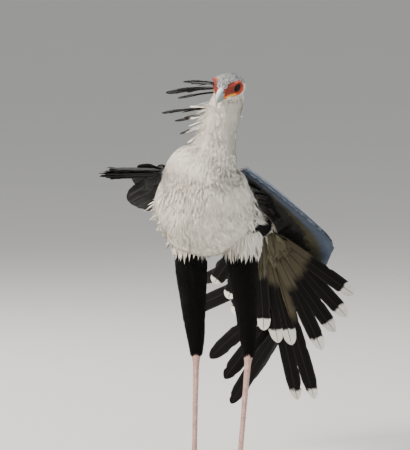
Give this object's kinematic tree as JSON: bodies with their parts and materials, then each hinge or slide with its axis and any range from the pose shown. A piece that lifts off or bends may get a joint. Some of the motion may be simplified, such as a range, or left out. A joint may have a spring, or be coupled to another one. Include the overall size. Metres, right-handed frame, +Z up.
{
  "type": "secretary bird",
  "caption": "Life-size still model of a secretary bird standing with a raised neck, one wing dropped and the tail spread.",
  "frame": {"origin": "middle of the bottom face of the model's box, on the ground between and behind the feet", "axes": "+Z up, -Y the way the bird's breast faces, +X towards the bird's left side"},
  "size_m": [0.5948, 0.6776, 0.9194],
  "materials": {
    "white_feathers": "soft matt feathers, off-white to pale grey",
    "black_feathers": "matt black feathers",
    "wing_feathers": "pale blue-grey coverts with black flight feathers",
    "tail_feathers": "pale grey feathers with a black band and white tips",
    "face_skin": "bare orange skin, slightly waxy",
    "leg_skin": "dull pinkish scaled skin",
    "bill_horn": "pale blue-grey horn, softly glossy",
    "claw_horn": "dark worn horn",
    "eye_wet": "wet dark brown eye"
  },
  "bodies": {
    "root": {"head": "white_feathers", "neck": "white_feathers", "torso": "white_feathers", "tail": "tail_feathers", "wing_left": "wing_feathers", "wing_right": "wing_feathers", "thigh_left": "black_feathers", "thigh_right": "black_feathers", "shank_left": "leg_skin", "shank_right": "leg_skin", "foot_left": "leg_skin", "foot_right": "leg_skin", "beak_upper": "bill_horn", "beak_lower": "bill_horn", "eye_left": "eye_wet", "eye_right": "eye_wet", "claw_left_inner": "claw_horn", "claw_left_middle": "claw_horn", "claw_left_outer": "claw_horn", "claw_left_hind": "claw_horn", "claw_right_inner": "claw_horn", "claw_right_middle": "claw_horn", "claw_right_outer": "claw_horn", "claw_right_hind": "claw_horn"}
  },
  "joints": []
}
